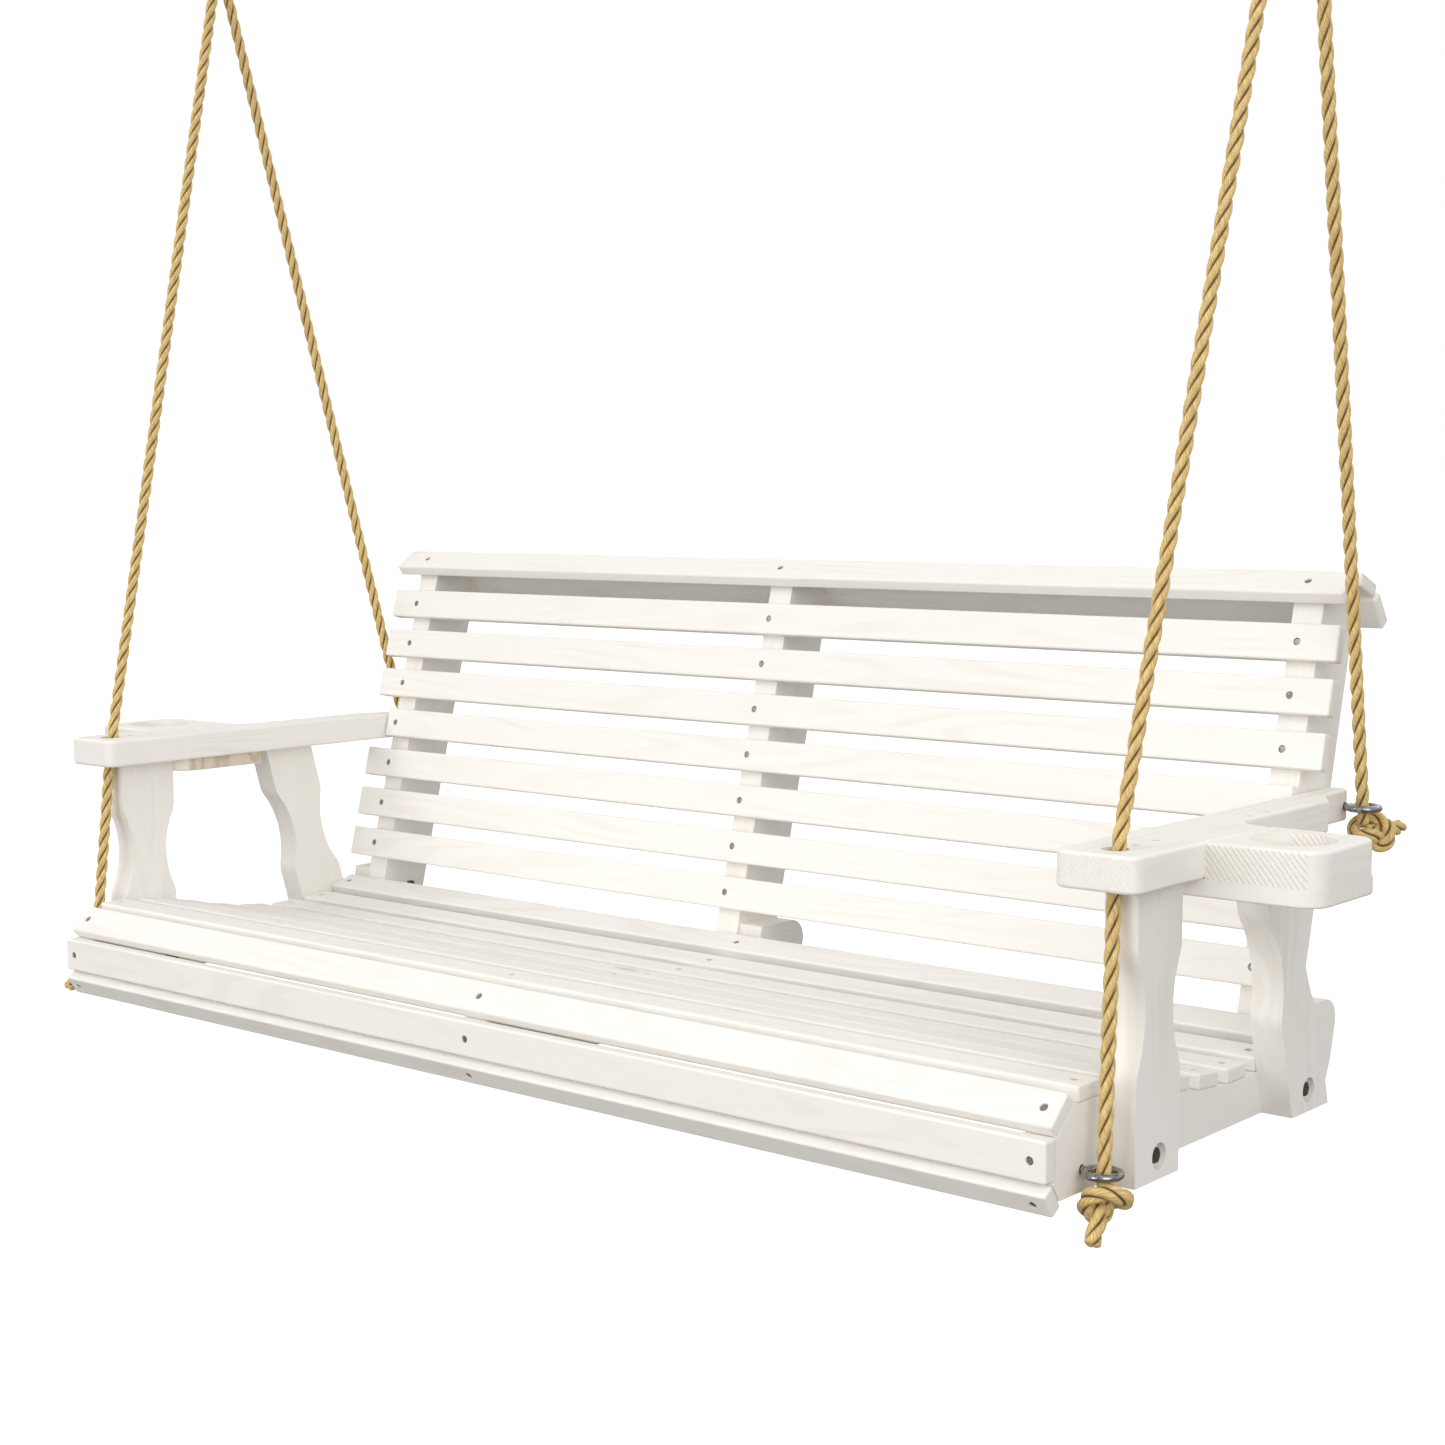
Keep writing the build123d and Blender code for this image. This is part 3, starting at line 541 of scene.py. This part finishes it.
def make_manila(name, fibre_size):
    """Twisted natural fibres: light and dark yarns, and painted shade in the gaps between the
    strands.
    """
    material, tree, shader = new_material(name, roughness=0.6)
    lay = add(tree, "ShaderNodeAttribute", attribute_name="fibre").outputs["Vector"]
    groove = add(tree, "ShaderNodeAttribute", attribute_name="groove").outputs["Fac"]
    drawn = add(
        tree, "ShaderNodeVectorMath", {0: lay, 1: (1.0, 1.0, 0.07)}, operation="MULTIPLY"
    ).outputs[0]
    yarns = noise(tree, drawn, 1 / fibre_size, detail=4.0, roughness=0.65)
    hairs = noise(tree, drawn, 3.5 / fibre_size, detail=2.0)
    patches = noise(tree, lay, 22.0, detail=2.0)
    colour = blended(tree, ranged(tree, yarns, 0.32, 0.68), FIBRE, FIBRE_LIGHT)
    colour = blended(tree, ranged(tree, patches, 0.5, 0.8, 0.0, 0.35), colour, FIBRE)
    colour = blended(tree, ranged(tree, hairs, 0.55, 0.85, 0.0, 0.5), colour, FIBRE_DARK_AND_GROOVE_SHADE)
    # painted shade: the deeper a point lies in a groove between strands, the darker its colour is
    # painted
    colour = blended(tree, ranged(tree, groove, 0.16, 0.44, 0.0, 0.95), colour, FIBRE_DARK_AND_GROOVE_SHADE)
    tree.links.new(colour, shader.inputs["Base Color"])
    shader.inputs["Sheen Weight"].default_value = 0.15
    relief = maths(tree, "ADD", yarns, maths(tree, "MULTIPLY", hairs, 0.5))
    bump(tree, shader, relief, distance=fibre_size * 0.6, strength=0.8)
    return material


YARN = 0.0011                             # width of a yarn in the rope
TWINE_YARN = 0.0005
manila = make_manila("manila", YARN)
twine = make_manila("twine", TWINE_YARN)


# ------------------------------------------------------------------ steel
def make_steel(name, colour, roughness, spots):
    """Zinc-plated or weathered steel, a little uneven and dulled in spots."""
    material, tree, shader = new_material(name, roughness, metallic=1.0)
    place = add(tree, "ShaderNodeTexCoord").outputs["Object"]
    cloud = noise(tree, place, 160.0, detail=4.0, roughness=0.6)
    dull = tuple(c * spots for c in colour[:3]) + (1,)
    tone = blended(tree, ranged(tree, cloud, 0.42, 0.72, 0.0, 0.8), colour, dull)
    tree.links.new(tone, shader.inputs["Base Color"])
    rough = ranged(tree, cloud, 0.3, 0.75, roughness * 0.7, roughness * 1.5)
    tree.links.new(rough, shader.inputs["Roughness"])
    fine = noise(tree, place, 900.0, detail=2.0)
    bump(tree, shader, fine, distance=0.0001, strength=0.25)
    return material


bright_steel = make_steel("bright_steel", (0.36, 0.36, 0.355, 1), 0.09, 0.35)
bolt_steel = make_steel("bolt_steel", (0.15, 0.14, 0.12, 1), 0.34, 0.5)
screw_steel = make_steel("screw_steel", (0.32, 0.29, 0.25, 1), 0.38, 0.45)


# ------------------------------------------------------------------ every piece's material
LOOKS = {
    "seat_slat": pine_across,
    "back_slat": pine_across,
    "front_slat": pine_across,
    "top_slat": pine_across,
    "cup_plate_left": pine_bare_ends,
    "cup_plate": pine_warm,
    "cup_block": pine_sawn,
    "arm_post": pine_upright,
    "arm_screws": screw_steel,
    "arm": pine_deep,
    "seat_support": pine_deep,
    "back_post": pine_leaning,
    "back_screws": screw_steel,
    "seat_screws": screw_steel,
    "post_bolts": bolt_steel,
    "lag_screws": bolt_steel,
    "eye_bolt": bright_steel,
    "ceiling_hook": bright_steel,
    "thimble": bright_steel,
    "nuts": bright_steel,
    "washers": bright_steel,
}


def dress(piece, material):
    piece.data.materials.clear()
    piece.data.materials.append(material)


for name, node in nodes.items():
    for start, material in LOOKS.items():
        if name.startswith(start):
            dress(node, material)
            break

for piece in rope_pieces:
    dress(piece, twine if "seizing" in piece.name else manila)


# ------------------------------------------------------------------ studio
FLOOR_DROP = 0.38                         # from the swing's lowest point to the floor
FLOOR_HALF = 40.0
FLOOR_GLOW = 0.42                         # keeps the floor white to the camera
FLOOR_SHADE = (0.26, 0.25, 0.24, 1)       # what the floor reflects onto the swing
AMBIENT = 0.80
SEAT = Vector((0.0, 0.0, -1.3))
# Each light's place, width, watts and tint. All of them aim at the seat.
LIGHTS = {
    "key": ((-2.6, -3.6, 1.6), 2.0, 36, (1.0, 0.985, 0.96)),
    "fill": ((3.6, -2.4, 0.2), 3.0, 52, (0.97, 0.985, 1.0)),
    "front": ((-0.6, -4.8, -0.8), 3.0, 56, (1.0, 1.0, 1.0)),
    "back": ((0.8, 4.2, 1.8), 3.0, 25, (1.0, 1.0, 1.0)),
}


def make_floor():
    """A wide pale floor below the hanging swing."""
    low = cad_box[0].z - FLOOR_DROP
    half = FLOOR_HALF
    mesh = bpy.data.meshes.new("floor")
    corners = [(-half, -half, low), (half, -half, low), (half, half, low), (-half, half, low)]
    mesh.from_pydata(corners, [], [(0, 1, 2, 3)])
    floor = bpy.data.objects.new("floor", mesh)
    bpy.context.scene.collection.objects.link(floor)
    material, tree, shader = new_material("floor", roughness=0.9)
    place = add(tree, "ShaderNodeTexCoord").outputs["Object"]
    seen = add(tree, "ShaderNodeLightPath").outputs["Is Camera Ray"]
    tone = blended(tree, noise(tree, place, 2.0), (0.93, 0.93, 0.92, 1), (0.95, 0.95, 0.95, 1))
    tone = blended(tree, seen, FLOOR_SHADE, tone)
    tree.links.new(tone, shader.inputs["Base Color"])
    glow = ranged(tree, seen, 0.0, 1.0, 0.0, FLOOR_GLOW)
    tree.links.new(glow, shader.inputs["Emission Strength"])
    shader.inputs["Specular IOR Level"].default_value = 0.1
    shader.inputs["Emission Color"].default_value = (1, 1, 1, 1)
    dress(floor, material)


def make_light(name, place, width, watts, tint):
    data = bpy.data.lights.new(name, "AREA")
    data.shape = "DISK"
    data.size = width
    data.energy = watts
    data.color = tint
    light = bpy.data.objects.new(name, data)
    light.location = place
    light.rotation_euler = (SEAT - Vector(place)).to_track_quat("-Z", "Y").to_euler()
    bpy.context.scene.collection.objects.link(light)


def make_world():
    """White behind the swing, and a softer even light on it."""
    world = bpy.data.worlds.new("studio")
    world.use_nodes = True
    tree = world.node_tree
    seen = add(tree, "ShaderNodeLightPath").outputs["Is Camera Ray"]
    strength = ranged(tree, seen, 0.0, 1.0, AMBIENT, 1.0)
    tree.links.new(strength, tree.nodes["Background"].inputs["Strength"])
    tree.nodes["Background"].inputs["Color"].default_value = (1, 1, 1, 1)
    bpy.context.scene.world = world
    bpy.context.scene.view_settings.view_transform = "Standard"


make_floor()
make_world()
for name, light in LIGHTS.items():
    make_light(name, *light)
